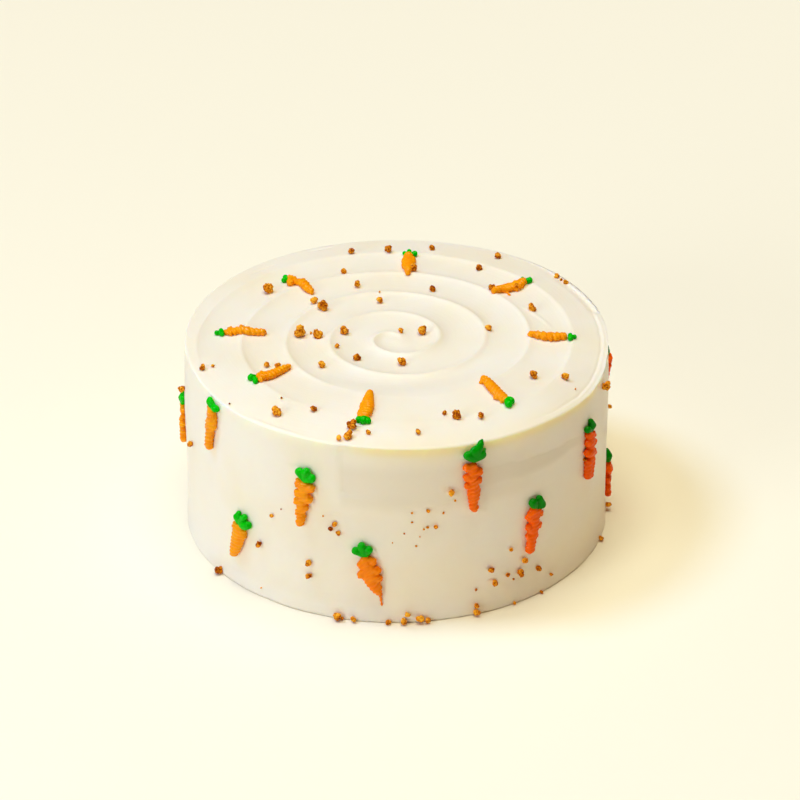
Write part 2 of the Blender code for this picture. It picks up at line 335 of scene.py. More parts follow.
# the iced cake
icing = {
    "footFlare": 1.1 * mm,
    "footRise": 9 * mm,
    "shoulder": 1.4 * mm,
    "crestBelow": 0.6 * mm,
    # hand iced, so not quite round: the sides lean in towards the top from this height, and one side bulges
    "lean": 1.2 * mm,
    "leanStart": 60 * mm,
    "bulge": (48, 34, 1.2 * mm),
    # one scalloped groove winds out from the middle, and past its last crest the top falls to the rim
    "swirlCentre": (0.0, -4 * mm),
    "pitch": 21.5 * mm,
    "firstCrest": 21 * mm,
    "wholeTurns": 3,
    "runOut": 20,
    "dip": 9 * mm,
    "dipShare": 0.65,
    "reach": 94 * mm,
    "depthMiddle": 2.2 * mm,
    "depthRim": 1.2 * mm,
    "crispness": 0.55,
    # how far the groove strays from a true spiral and how uneven its depth is, each with the lumps' size
    "wander": (0.9 * mm, 38 * mm),
    "unevenDepth": (0.35, 30 * mm),
    # the fall to the rim, and how much more of it there is at the right
    "outerFall": (1.3 * mm, 0.6 * mm),
    "fallWidth": 12 * mm,
    # the spatula pressed less along the front: direction, reach either way, share of the depth kept, and
    # the radii from and past which it did so
    "lightPass": (-84, 70, 0.15, 41.6 * mm, 57.6 * mm),
    # where the whole edge sinks at the front: direction, reach to the left and right, from this radius,
    # depth, and the share of it kept once leftStart degrees to the left
    "sunkEdge": (-62, 105, 64, 66 * mm, 4.7 * mm, 0.75),
    "leftStart": 55,
    # how blunt that length's left and right ends are, and how late it curves down on its way to the edge
    "sunkEnds": (2.6, 1.9),
    "sunkCurve": 1.9,
    # and it dips further at the right: direction, reach either way, depth
    "dippedEdge": (-22, 36, 1.6 * mm),
    # the wall's icing stands up along the edge as a lip: from angle, to angle, widths, height; how ragged
    # its height and width are; and the valley inside it: depth, place and half width as shares of the lip's
    "lip": (-56, 14, 2 * mm, 2.5 * mm, 0.5 * mm),
    "lipRagged": (0.35, 0.25),
    "valley": (0.45, 1.15, 0.35),
    # past the lip's end the edge sags: from angle, to angle, width, depth
    "sag": (14, 50, 5 * mm, 1.1 * mm),
    # marks where the spatula lifted: from angle, to angle, radii, depth, or height if negative
    "streaks": (
        (129, 140, 97 * mm, 96.5 * mm, 0.45 * mm),
        (109, 117, 100 * mm, 100 * mm, 0.35 * mm),
        (2, 28, 77 * mm, 67 * mm, -0.4 * mm),
        (227, 246, 102 * mm, 102 * mm, -0.3 * mm),
    ),
    "streakWidth": 1.3 * mm,
    "lumpHeight": 0.35 * mm,
    "topLumps": (0.5, 46 * mm),  # share of that height, size
    "wallLumps": ((1.0, 46 * mm, 1.6), (0.25, 15 * mm, 4)),  # and how many times wider than tall
    # a smear of icing on the wall: from angle, to angle, lower edge's and upper edge's heights at either
    # end, and how far it stands out at its lower and upper edge
    "smear": (-80, -24, (62 * mm, 70 * mm), (82 * mm, 73 * mm), (0.12 * mm, 0.25 * mm)),
    "smearEdge": 0.6 * mm,
    "smearWave": 1.2 * mm,
    # the scraper's step climbs the wall to the left of it: from angle, to angle, heights, how far it stands
    # out, how soft its edge is and how soon it fades above that
    "step": (-150, -60, 50 * mm, 66 * mm, 0.3 * mm, 2 * mm, 30 * mm),
    "stepWave": (1.5 * mm, 12 * mm),
    # where one pass of the scraper laps the next: angle, how far round it fades, lowest height, depth
    "lap": (-105, 30, 66 * mm, 0.5 * mm),
    # past the lap the wall is painted darker and duller, and on the smear painted shade: how far round,
    # lower and upper height, share; and share on the smear
    "thinPatch": (60, 58 * mm, 88 * mm, 0.5),
    "thinSmear": 0.75,
    # the painted light under the edge, a painted glowing band: middle direction, reach either way, share
    # kept elsewhere, height, and the strength of the wide faint band, the narrow bright line in it and the
    # rim above it
    "litBand": (-62, 47, 0.04, 11 * mm),
    "litStrength": (0.28, 0.5, 0.2),
    "steps": 384,
    "shoulderSteps": 8,
    "footShares": (1, 0.8, 0.62, 0.46, 0.33, 0.22, 0.13, 0.07, 0.03, 0.0),
    "baseShares": (0.98, 0.9, 0.6, 0.3, 0.0),
    "topSpacing": 0.85 * mm,
    "rimSpacing": 0.45 * mm,
    "rimZone": 8 * mm,
    "fineSpacing": 0.75 * mm,
    "fineHeight": 58 * mm,
    "wallSpacing": 1.9 * mm,
    "glowDepth": 7 * mm,
}
wallRadius = cakeHigh.x - icing["footFlare"]
crestLevel = cakeHigh.z - icing["crestBelow"]
flatRadius = wallRadius - icing["shoulder"]
shoulderStart = crestLevel - icing["shoulder"]


def edgeFall(angle):
    # how far the edge sinks at this angle
    middle, left, right, _, depth, kept = icing["sunkEdge"]
    turned = angleBetween(angle, middle)
    blunt, reach = (icing["sunkEnds"][0], left) if turned < 0 else (icing["sunkEnds"][1], right)
    sunk = depth * ease(blunt - blunt * abs(turned) / reach)
    sunk *= 1 - (1 - kept) * ease(-turned / icing["leftStart"])
    middle, reach, depth = icing["dippedEdge"]
    return sunk + depth * ease(1 - abs(angleBetween(angle, middle)) / reach)


def shoulderAt(angle):
    return shoulderStart - edgeFall(angle)


def formRadius(angle, height):
    # the wall's radius before any relief
    middle, reach, out = icing["bulge"]
    bulge = out * ease(1 - abs(angleBetween(angle, middle)) / reach) * ease(height / icing["leanStart"])
    rise = max(0.0, height - icing["leanStart"]) / (crestLevel - icing["leanStart"])
    return wallRadius + bulge - icing["lean"] * math.cos(angle) ** 2 * rise


def grooveDrop(beyond, inward, bowl, fall):
    # inside the last crest the scalloped bowl, outside it an even fall to the rim
    if beyond <= 0:
        return bowl
    wide = beyond + inward
    return fall * min(1.0, wide / icing["fallWidth"]) * beyond / wide


def swirlDrop(x, y):
    across, up = x - icing["swirlCentre"][0], y - icing["swirlCentre"][1]
    radius, angle = math.hypot(across, up), math.atan2(up, across)
    stray = icing["wander"][0] * ripple((x, y, 0), icing["wander"][1])
    fromFirst = radius + stray - icing["firstCrest"]
    phase = (fromFirst / icing["pitch"] - angle / math.tau) % 1.0
    side = abs(2 * phase - 1)
    scallop = 1 - (1 - icing["crispness"]) * side**2 - icing["crispness"] * side**5
    groove = icing["dipShare"] + (scallop - icing["dipShare"]) * ease(radius / icing["dip"])
    share = min(radius / icing["reach"], 1.0)
    depth = icing["depthMiddle"] + (icing["depthRim"] - icing["depthMiddle"]) * share
    depth *= 1 + icing["unevenDepth"][0] * ripple((x, y, 50 * mm), icing["unevenDepth"][1])
    beyond = fromFirst - icing["pitch"] * (icing["wholeTurns"] + angle / math.tau)
    inward = max(0.0, flatRadius - math.hypot(x, y))
    fall = icing["outerFall"][0] + icing["outerFall"][1] * math.cos(angle)
    merged = ease((angleBetween(angle, -180) % 360) / icing["runOut"])
    bowl = depth * groove
    drop = merged * grooveDrop(beyond, inward, bowl, fall)
    drop += (1 - merged) * grooveDrop(beyond - icing["pitch"], inward, bowl, fall)
    middle, reach, kept, near, far = icing["lightPass"]
    lighter = ease(1.6 - 1.6 * abs(angleBetween(angle, middle)) / reach)
    lighter *= ease((radius - near) / (far - near))
    return drop * (1 - (1 - kept) * lighter)


def edgeRelief(radius, angle):
    # the sinking edge, its lip, the valley inside the lip, the sag past its end, and the marks
    inward = flatRadius - radius
    sinkStart = icing["sunkEdge"][3]
    outward = min(1.0, max(0.0, radius - sinkStart) / (flatRadius - sinkStart))
    relief = -edgeFall(angle) * outward ** icing["sunkCurve"]
    start, end, narrow, wide, height = icing["lip"]
    share = shareRound(angle, start, end)
    if share < 1:
        rise = height * (1 + icing["lipRagged"][0] * rippleRound(angle, 9))
        rise *= ease(3 * share) * ease(30 * (1 - share))
        width = narrow + (wide - narrow) * share
        width *= 1 + icing["lipRagged"][1] * rippleRound(angle, 14, 7)
        relief += rise * ease(1.5 - 1.5 * inward / width)
        depth, place, half = icing["valley"]
        relief -= depth * rise * ease(1 - abs(inward - place * width) / (half * width))
    start, end, width, depth = icing["sag"]
    share = shareRound(angle, start, end)
    if share < 1:
        relief -= depth * ease(1 - inward / width) * ease(30 * share) * ease(1.5 - 1.5 * share)
    for start, end, startRadius, endRadius, depth in icing["streaks"]:
        share = shareRound(angle, start, end)
        if share < 1:
            middle = startRadius + (endRadius - startRadius) * share
            beside = ease(1 - abs(radius - middle) / icing["streakWidth"])
            relief -= depth * beside * ease(4 * share * (1 - share))
    return relief


def topHeight(x, y):
    angle = math.atan2(y, x)
    height = crestLevel - swirlDrop(x, y) + edgeRelief(math.hypot(x, y), angle)
    share, size = icing["topLumps"]
    return height + share * icing["lumpHeight"] * ripple((x, y, 90 * mm), size)


def smearAt(angle, height):
    # (how far up the smear this height lies, how much smear there is here, how far it stands out)
    start, end, lows, highs, rises = icing["smear"]
    share = shareRound(angle, start, end)
    if share > 1:
        return 0.0, 0.0, 0.0
    wave = icing["smearWave"] * rippleRound(angle, 9, 3)
    low = lows[0] + (lows[1] - lows[0]) * share + wave
    high = highs[0] + (highs[1] - highs[0]) * share + wave
    between = (height - low) / (high - low)
    edges = ease((height - low) / icing["smearEdge"]) * ease((high - height) / icing["smearEdge"])
    return between, edges * ease(5 * share) * ease(3 - 3 * share), rises[0] + (rises[1] - rises[0]) * between


def wallRelief(angle, height):
    x, y = wallRadius * math.cos(angle), wallRadius * math.sin(angle)
    relief = 0.0
    for share, size, wider in icing["wallLumps"]:
        relief += share * icing["lumpHeight"] * ripple((x, y, wider * height), size)
    start, end, low, high, rise, soft, fade = icing["step"]
    share = shareRound(angle, start, end)
    if share < 1:
        wave = icing["stepWave"][0] * ripple((x, y, 0), icing["stepWave"][1])
        over = height - (low + (high - low) * share + wave)
        relief += rise * ease(over / soft + 0.5) * ease(5 * share * (1 - share)) * ease(1 - over / fade)
    start, reach, low, depth = icing["lap"]
    past = angleBetween(angle, start)
    if 0 < past < reach:
        relief -= depth * ease(past / 0.8) * ease(1 - past / reach) * ease((height - low) / (4 * mm))
    _, there, rise = smearAt(angle, height)
    return relief + there * rise


def dullAndShadeShare(angle, height):
    # how much the wall is painted darker and duller: a patch past the lap, and painted shade on the smear's
    # recessed band
    reach, low, high, share = icing["thinPatch"]
    past = angleBetween(angle, icing["lap"][0])
    patch = share * ease(past / 1.5) * ease(3 - 3 * past / reach)
    patch *= ease((height - low) / (8 * mm)) * ease((high - height) / (9 * mm))
    between, there, _ = smearAt(angle, height)
    return max(patch, icing["thinSmear"] * there * ease(2 * between))


def paintedGlowShare(angle, over, below, inward):
    # how strongly glow is painted, as painted light, this far below the edge or, on top, this far inward
    # from it
    middle, reach, kept, tall = icing["litBand"]
    wide, line, rim = icing["litStrength"]
    around = kept + (1 - kept) * ease(3 - 3 * abs(angleBetween(angle, middle)) / reach)
    under = wide * ease(1 - below / tall) + line * ease(1.3 - below / (0.35 * tall))
    return around * (over * under + (1 - over) * rim * ease(1 - inward / tall))


def footFlare(angle, height):
    uneven = 1 + 0.5 * rippleRound(angle, 6, height / (6 * mm))
    rounded = 0.35 + 0.65 * ease(height / (0.8 * mm) + 0.1)
    return icing["footFlare"] * min(uneven, 1.0) * rounded * ease(1 - height / icing["footRise"])


def wallAt(angle, height):
    return formRadius(angle, height) + wallRelief(angle, height) + footFlare(angle, height)


def stepsBetween(start, end, spacing):
    # evenly spaced values from start up to, and without, end
    count = math.ceil(abs(end - start) / spacing)
    return [start + (end - start) * i / count for i in range(count)]


def icingProfile():
    # (radius, height) from the middle of the top, over the edge, down the wall and under
    rimStart = flatRadius - icing["rimZone"]
    points = [(radius, crestLevel) for radius in stepsBetween(0, rimStart, icing["topSpacing"])]
    points += [(radius, crestLevel) for radius in stepsBetween(rimStart, flatRadius, icing["rimSpacing"])]
    for i in range(icing["shoulderSteps"] + 1):
        bend = math.pi / 2 * i / icing["shoulderSteps"]
        out, up = icing["shoulder"] * math.sin(bend), icing["shoulder"] * math.cos(bend)
        points.append((flatRadius + out, shoulderStart + up))
    heights = stepsBetween(shoulderStart, icing["fineHeight"], icing["fineSpacing"])[1:]
    heights += stepsBetween(icing["fineHeight"], icing["footRise"], icing["wallSpacing"])
    heights += [share * icing["footRise"] for share in icing["footShares"]]
    points += [(wallRadius, height) for height in heights]
    points += [(share * wallRadius, 0.0) for share in icing["baseShares"]]
    return points


def icedPlace(place):
    # where the form and the spatula's relief take a point of the plain round
    radius, angle, height = math.hypot(place.x, place.y), math.atan2(place.y, place.x), place.z
    if height < 0.01 * mm and radius < wallRadius - 0.1 * mm:  # the flat base stays flat
        return place
    over = max(0.0, min(1.0, (height - shoulderStart) / icing["shoulder"]))
    sunk = edgeFall(angle) * ease(height / shoulderStart)
    height += over * (topHeight(place.x, place.y) - crestLevel) - (1 - over) * sunk
    outward = (formRadius(angle, height) - wallRadius) * (radius / wallRadius) ** 6
    radius += outward + (1 - over) * (wallRelief(angle, height) + footFlare(angle, height))
    return Vector((radius * math.cos(angle), radius * math.sin(angle), height))


def makeIcing():
    bm = bmesh.new()
    nearEdge = bm.verts.layers.float.new("nearEdge")
    litEdge = bm.verts.layers.float.new("litEdge")
    thin = bm.verts.layers.float.new("thin")
    before = None
    for radius, height in icingProfile():
        corner = bm.verts.new((radius, 0.0, height))
        if before:
            bm.edges.new((before, corner))
        before = corner
    bmesh.ops.spin(
        bm,
        geom=bm.verts[:] + bm.edges[:],
        cent=(0, 0, 0),
        axis=(0, 0, 1),
        angle=math.tau,
        steps=icing["steps"],
        use_merge=True,
        use_duplicate=False,
    )
    bmesh.ops.remove_doubles(bm, verts=bm.verts, dist=0.001 * mm)
    for vert in bm.verts:
        angle = math.atan2(vert.co.y, vert.co.x)
        over = ease((crestLevel - vert.co.z) / icing["shoulder"])
        below = shoulderStart - vert.co.z
        vert[nearEdge] = over * max(0.0, 1 - below / icing["glowDepth"])
        inward = flatRadius - math.hypot(vert.co.x, vert.co.y)
        # painted light: how much glow is painted at this point
        vert[litEdge] = paintedGlowShare(angle, over**3, below, inward)
        vert.co = icedPlace(vert.co)
        # painted darker and duller past the lap, and painted shade on the smear
        vert[thin] = over * dullAndShadeShare(angle, vert.co.z)
    bmesh.ops.recalc_face_normals(bm, faces=bm.faces)
    return pieceFrom(bm, "icedCake", creamMaterial, ["cake"])


icedCake = makeIcing()
print("icing spread:", len(icedCake.data.polygons), "faces")


# where a carrot's own (across, along, out) lies on the icing; along runs from its crown to its tip

def flatPlaces(nodeName, onTop, facing):
    # a node's points on the top, or on the wall unrolled about the direction that the carrot faces
    places = []
    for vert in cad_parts[nodeName].data.vertices:
        if onTop:
            places.append(Vector((vert.co.x, vert.co.y)))
        else:
            turned = math.remainder(math.atan2(vert.co.y, vert.co.x) - facing, math.tau)
            places.append(Vector((turned * wallRadius, vert.co.z)))
    return places


def carrotAxis(name, onTop):
    # crown, direction, length and the wall direction it faces, read from the CAD nodes
    low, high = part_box(name + "_root")
    facing = math.atan2(low.y + high.y, low.x + high.x)
    root = flatPlaces(name + "_root", onTop, facing)
    tuft = flatPlaces(name + "_tuft", onTop, facing)
    middle = sum(root, Vector((0, 0))) / len(root)
    tuftMiddle = sum(tuft, Vector((0, 0))) / len(tuft)
    spread = [place - middle for place in root]
    alongX = sum(s.x * s.x for s in spread)
    alongY = sum(s.y * s.y for s in spread)
    mixed = sum(s.x * s.y for s in spread)
    lean = 0.5 * math.atan2(2 * mixed, alongX - alongY)
    direction = Vector((math.cos(lean), math.sin(lean)))
    if direction.dot(middle - tuftMiddle) < 0:
        direction = -direction
    reach = [s.dot(direction) for s in spread]
    crown = middle + direction * (min(reach) - piping["crownLead"])
    return crown, direction, max(reach) - min(reach), facing


def placerFor(name, onTop):
    crown, direction, length, facing = carrotAxis(name, onTop)
    right = Vector((-direction.y, direction.x))

    def onTheTop(across, along, out):
        spot = crown + direction * along + right * across
        # a stiff bead of piping bridges the swirl's finer dips, so it lies on the mean of spots around
        reach, spots = piping["bridge"]
        level = 0.0
        for i in range(spots):
            turn = math.tau * i / spots
            level += topHeight(spot.x + reach * math.cos(turn), spot.y + reach * math.sin(turn)) / spots
        return Vector((spot.x, spot.y, level + out))

    def onTheWall(across, along, out):
        spot = crown + direction * along + right * across
        angle, height = facing + spot.x / wallRadius, spot.y
        edge = shoulderAt(angle)
        bend = max(0.0, min((height - edge) / icing["shoulder"], math.pi / 2))
        radius = wallAt(angle, min(height, edge)) + out
        if bend:
            reach = icing["shoulder"] + out
            radius, height = radius - reach * (1 - math.cos(bend)), edge + reach * math.sin(bend)
        return Vector((radius * math.cos(angle), radius * math.sin(angle), height))

    return (onTheTop if onTop else onTheWall), length


# Piped carrots, drawn flat. Each line of icing runs through (to the right, down from the crown, half its
# width) in mm, seen from outside with the tip down; the tuft lies above the crown. side_carrot_09 and _10
# are at the right edge and mostly seen from their side.
carrotLines = {
    "top_carrot_1": (
        (((-0.8, 0.4, 2.4), (-0.3, 6, 3.3), (0.3, 12, 2.7), (1.0, 19.2, 1.3)),
         ((-2.4, 4.4, 1.5), (-2.2, 6.4, 1.5)), ((-1.9, 9.6, 1.4), (-1.6, 11.4, 1.4)),
         ((1.8, 3, 1.5), (2.1, 6.4, 1.5))),
        (((-0.8, -0.8, 0.9), (-3.2, -2.8, 1.1)), ((-0.4, -0.8, 1), (-0.9, -4.2, 1.3)),
         ((0.2, -0.8, 1), (2.1, -2.3, 1.5))),
    ),
    "top_carrot_2": (
        (((-1.4, 3.4, 2), (0.6, 1.6, 1.8)), ((2.4, -1, 1.6), (2.2, 2.2, 1.9)),
         ((1.2, 2.4, 1.6), (1.4, 6, 1.8)), ((3.3, 7, 1.7), (2.2, 9, 2.2)),
         ((1.9, 7.4, 2.4), (1.5, 10.5, 2.7), (0.7, 14.5, 2.3), (0.2, 17.4, 1.3))),
        (((0.8, -0.4, 1), (-1.4, -1.4, 1.4)), ((1.2, -1.2, 1), (1.2, -3, 1.5)),
         ((1.8, -1.8, 0.9), (3.4, -2.9, 0.8))),
    ),
    "top_carrot_3": (
        (((0.4, 0.9, 1.2), (1.4, 0.8, 1.2)), ((-0.8, 2.8, 1.5), (3.2, 3.1, 1.5)),
         ((-0.8, 5.4, 1.5), (1.7, 5.7, 1.4)), ((-1.1, 8.4, 1.6), (2.6, 8.6, 1.6)),
         ((-1.6, 11.3, 1.7), (0.8, 11.5, 1.6)), ((0.8, 2, 1.6), (0.5, 8, 1.8)),
         ((0.2, 8, 1.9), (-1.3, 13.5, 2), (-2, 18.3, 1.8)), ((-1.6, 19.2, 1), (0.3, 19.5, 0.6))),
        (((-0.8, -1.3, 1.2), (2.6, -1.4, 1.3)), ((0.8, -1.4, 1.1), (0.6, -3.6, 1.3))),
    ),
    "top_carrot_4": (
        (((-4, -0.6, 1.4), (-1.8, 0.6, 1.8)),
         ((-1.8, 1.6, 2.8), (-1.8, 6, 2.9), (-1.2, 11, 2.4), (-0.6, 17.4, 1.5)),
         ((1.6, 4.3, 1.4), (0, 3.4, 1.6)), ((0.5, 1.8, 1.3), (-0.6, 1.4, 1.5)),
         ((0, 7.6, 1.2), (-1, 7, 1.5)), ((-0.1, 10.4, 1.2), (-1, 10, 1.4)),
         ((-0.4, 18.2, 1.2), (0.8, 18.9, 0.7))),
        (((-0.9, -0.8, 1), (-3.6, -3.2, 1.3)), ((-0.2, -0.9, 1.2), (0.2, -3.2, 1.6)),
         ((0, -0.9, 1), (2, -1.8, 1.1))),
    ),
    "top_carrot_5": (
        (((0.6, 0.2, 2.9), (0.7, 8, 3.3), (1.5, 14, 2.6), (2.4, 21.6, 1.3)),
         ((2.7, 1, 1.3), (2.7, 3.4, 1.4)), ((2.8, 7.6, 1.5), (3, 9.6, 1.4)),
         ((2.9, 12, 1.2), (2.8, 14.5, 1.2)), ((2.5, 22, 0.9), (2.9, 24, 0.5)),
         ((-1.2, 3, 1.5), (-1, 7, 1.5))),
        (((-0.4, -0.6, 1.2), (-2.2, -3, 1.5)), ((0.2, -0.6, 1.4), (0, -3.4, 1.8)),
         ((0.6, -0.6, 1.2), (2.3, -2.9, 1.5))),
    ),
    "top_carrot_6": (
        (((0.4, 0.6, 2.5), (0.4, 4, 2.9), (-0.2, 8, 2.9), (-0.9, 12, 2.8), (-1.6, 16, 2.4),
          (-1.9, 18.8, 1.9)),
         ((1.9, -0.4, 1.3), (0.8, 0.6, 1.6)), ((2.8, 3.2, 1.4), (1.2, 4, 1.6)),
         ((1.4, 7.8, 1.3), (0, 8.4, 1.6)), ((0.4, 12, 1.2), (-0.8, 12.4, 1.5)),
         ((-2.8, 11, 1.2), (-1.4, 10.2, 1.5)), ((-3.3, 15, 1.2), (-2, 14.4, 1.5)),
         ((-3.2, 18.6, 1.1), (-1.6, 19.2, 1.2)), ((-0.8, 18.6, 1.1), (0.9, 18.2, 0.7)),
         ((-2.1, 19.4, 0.9), (-2.2, 20.6, 0.4))),
        (((-0.6, -1, 1.5), (-1.2, -3, 1.8)), ((0, -1.4, 1.5), (1.3, -4.4, 1.9))),
    ),
    "top_carrot_7": (
        (((0.3, 1.7, 1.6), (1.8, 1.6, 1.7)), ((-0.1, 4.8, 1.6), (2.6, 4.9, 1.7)),
         ((-0.4, 7.9, 1.6), (2.7, 7.7, 1.8)), ((-0.9, 11, 1.6), (2.2, 10.8, 1.7)),
         ((-1.1, 14, 1.6), (1, 13.8, 1.6)), ((-0.9, 16.9, 1.5), (0, 16.9, 1.4)),
         ((1.1, 2, 1.9), (1.2, 8, 2), (0.3, 14, 1.8), (-0.4, 18, 1.2))),
        (((0.2, -1.6, 1.2), (3.4, -1.7, 1.4)), ((1.8, -1.6, 1.1), (2, -3.6, 1.2))),
    ),
    "top_carrot_8": (
        (((1.2, 0.4, 2.3), (1.2, 5, 3.2), (-0.6, 9.5, 3.2), (-2.4, 13.5, 2.5), (-3.2, 17.4, 1.6)),
         ((3, 3, 1.3), (3.2, 7.4, 1.3)), ((-1.2, 3, 1.4), (0, 3.6, 1.6)),
         ((-2.6, 7.4, 1.4), (-1, 7.6, 1.6)), ((-0.6, 11.4, 0.8), (1.8, 13, 0.6), (3.8, 14, 0.5))),
        (((0, -0.9, 0.8), (-1.4, -3, 0.9)), ((1.4, -1.1, 1.2), (3.4, -2.6, 1.6), (1.9, -4.8, 1))),
    ),
    "side_carrot_01": (
        (((0, 1, 1.3), (0, 6, 1.2), (0, 9, 1.7), (0, 20, 1.8)), ((-2.4, 1.2, 1.3), (2.4, 2, 1.3)),
         ((-2.6, 5, 1.2), (2.4, 5.8, 1.2)), ((-2.4, 9.4, 1.7), (2.4, 10, 1.7)),
         ((-2, 13.4, 1.7), (2, 14, 1.7)), ((-1.4, 18, 1.7), (1.4, 18.8, 1.7))),
        (((0, -0.8, 1.1), (-0.4, -3.6, 1.7), (0.4, -6.4, 1), (0.2, -9.6, 0.8)),
         ((0.2, -2, 1.2), (1.8, -4.6, 1.2))),
    ),
    "side_carrot_02": (
        (((-1, 0.6, 2.6), (-1.3, 8, 2.6), (-1.8, 14, 2.4), (-2.3, 20.4, 2.2)),
         ((-3.6, 0.4, 1.5), (-2, 1, 1.8)), ((-3.7, 4, 1.4), (-2, 4, 1.8)), ((-4.1, 7.6, 1.6), (-2, 7, 1.8)),
         ((-4.5, 11.2, 1.6), (-2.4, 10.6, 1.8)), ((-4.2, 15.4, 1.4), (-2.8, 14.8, 1.8)),
         ((-4.4, 21.8, 1.3), (-1.6, 21, 1.7)), ((0.6, 3.4, 1.6), (0.8, 8.8, 1.6))),
        (((-1, -1.9, 1.6), (-3.4, -3.2, 1.8), (-4.2, -3.9, 1.3)),
         ((-0.4, -1.6, 1.6), (1.7, -2.1, 1.8), (2.4, -2.1, 1.3))),
    ),
    "side_carrot_03": (
        (((0.6, 2.2, 4), (0.3, 8, 3.8), (-0.1, 13, 3.1), (-0.7, 17, 2)), ((-2.8, 0, 1.5), (-3.1, 1.8, 1.5)),
         ((2.6, 0.6, 1.9), (3.4, 3, 1.7)), ((-1.2, 16.6, 1.9), (-1.4, 17.8, 1.5))),
        (((-0.6, -0.2, 0.9), (-2.5, -4.6, 1.8), (-2.2, -7, 1.2)),
         ((0, -1, 1.2), (0.4, -5, 1.6), (1.8, -7.3, 1.7)),
         ((0.6, -1.6, 1.4), (3.4, -3.4, 2.2), (4.9, -4.6, 2))),
    ),
    "side_carrot_04": (
        (((0.8, 1.8, 2.8), (0.9, 8, 2.6), (0.7, 13, 2.3), (0.6, 20, 1.9)),
         ((-2.1, -0.2, 1.6), (-2.3, 2, 1.7)), ((4.1, 1.8, 2.2), (1.5, 3.6, 2), (-1.5, 6.4, 2.2)),
         ((3.7, 7.8, 2.2), (1.2, 9, 2), (-1.3, 11, 2.2)), ((2.4, 13, 1.9), (-0.1, 17, 2.2)),
         ((1.4, 18.4, 1.9), (0.6, 22.2, 2.1))),
        (((0, -0.6, 1), (-2.4, -4.9, 2)), ((0.5, -1.4, 1.4), (1.1, -6, 2.1)),
         ((1, -1.4, 1.5), (3.8, -3.6, 2.2))),
    ),
    "side_carrot_05": (
        (((-0.6, 1.5, 2.8), (-0.9, 7, 4.1), (-0.9, 12, 3.6), (-0.5, 16.5, 2.4), (0.1, 20, 1.3)),
         ((0, -0.4, 1.6), (-2.8, 2.4, 2.1)), ((-1.5, 4.6, 2), (-4.7, 7.8, 2)),
         ((1.2, 0.6, 1.7), (2.9, 2.2, 1.8)), ((1.2, 5.4, 2), (3.3, 7.4, 1.9)),
         ((0.4, 9.4, 2), (2.6, 11.8, 1.8)), ((0.2, 13.8, 1.8), (0.9, 16.8, 1.4)),
         ((0.1, 20.6, 0.8), (-0.5, 23.4, 0.6), (-1.2, 27, 0.5))),
        (((0, -1.4, 1.2), (-3.1, -5.3, 1.9)), ((0.4, -2, 1.5), (0.4, -7, 2)),
         ((0.6, -1.8, 1.3), (3, -4.4, 2))),
    ),
    "side_carrot_06": (
        (((-1.1, 2, 2.3), (-1.1, 7, 2.4), (-0.8, 14, 2.2), (-0.7, 20, 1.8), (-0.6, 23.6, 1.9)),
         ((-3.9, 1.8, 2), (-1.2, 2.2, 2)), ((1.7, 4.8, 2), (-1.2, 4.6, 1.9)),
         ((-3.9, 6.8, 2), (-0.8, 7.2, 2)), ((1.4, 9.2, 1.9), (-1.2, 9.6, 1.9)),
         ((-3.4, 11.4, 1.9), (-0.2, 12, 1.9)), ((0.7, 14, 1.8), (0.1, 19.2, 1.8)),
         ((-2.2, 15.2, 1.7), (-1.6, 19.8, 1.7)), ((-0.9, 23, 2.1), (-0.5, 23.8, 2.1))),
        (((-0.6, -2.6, 2.2), (-3.4, -4.4, 2.2)), ((0, -2.8, 2.4), (0.4, -5.4, 3.3)),
         ((0.8, -2.6, 2), (3, -3.6, 2.4)), ((0.6, -6, 2.4), (2.6, -8, 1.6), (4.4, -9.8, 0.5)),
         ((2.8, -4.6, 2), (5.3, -5.4, 0.6))),
    ),
    "side_carrot_07": (
        (((0.2, 2, 2.6), (0.6, 9, 2.7), (0.4, 14, 2.4), (0.2, 21, 2.3)), ((-0.9, 0.4, 2), (-2.9, 3.6, 2)),
         ((1.8, 1, 1.8), (3.3, 2.6, 1.8)), ((-1.6, 4.4, 1.9), (3.3, 8.6, 1.9)),
         ((-2.2, 9, 1.8), (1.8, 13.4, 1.9)), ((-1.4, 13.6, 1.8), (1, 17.4, 1.8))),
        (((0, -0.8, 1.5), (-2.1, -4, 2.2)), ((1.4, -0.6, 1.3), (3.6, -1.9, 2.1), (1.8, -5.2, 1.7))),
    ),
    "side_carrot_08": (
        (((-0.4, 2, 2.2), (0.6, 8, 2.3), (1, 14, 2.4)), ((-1.6, 0.6, 2), (2, 1.6, 2)),
         ((-1.7, 4.6, 2.1), (3.2, 6, 2.1)), ((-2, 9.8, 2.1), (3.4, 11.4, 2.1)),
         ((-0.8, 15, 2), (-0.4, 22.6, 1.9)), ((2, 15, 2.1), (1.6, 23.4, 1.9))),
        (((0, -1.2, 1.5), (-2.8, -2.8, 1.7)), ((0.6, -1.2, 1.5), (2.2, -3, 1.9), (1.2, -5.4, 1.4))),
    ),
    "side_carrot_09": (
        (((0, 1, 1.6), (0, 8, 1.7), (0, 15, 1.6), (0, 18, 2)), ((-2.2, 3.4, 2.1), (2.2, 4, 2.1)),
         ((-1.8, 9, 1.7), (1.8, 9.6, 1.7)), ((-1.2, 14, 1.7), (1.2, 14.6, 1.7))),
        (((0, -0.8, 1.5), (-0.6, -3.4, 1.9), (0, -6.6, 0.9)), ((0.4, -1, 1.4), (2, -3.4, 1.5))),
    ),
    "side_carrot_10": (
        (((0, 3.6, 1.9), (-0.4, 10.6, 1.4), (-0.6, 17, 1), (-0.8, 22.6, 0.6)),
         ((-1.8, 3.8, 1.9), (1.6, 4.2, 1.9)), ((-1.6, 8.2, 1.6), (1.2, 8.8, 1.6)),
         ((-1.2, 13, 1.2), (0.6, 13.4, 1.2))),
        (((0, 1.8, 1.2), (-1.2, -0.4, 1.2), (-1.6, -3.6, 0.8)), ((0.4, 1.6, 1.2), (1.4, -1.6, 1))),
    ),
}
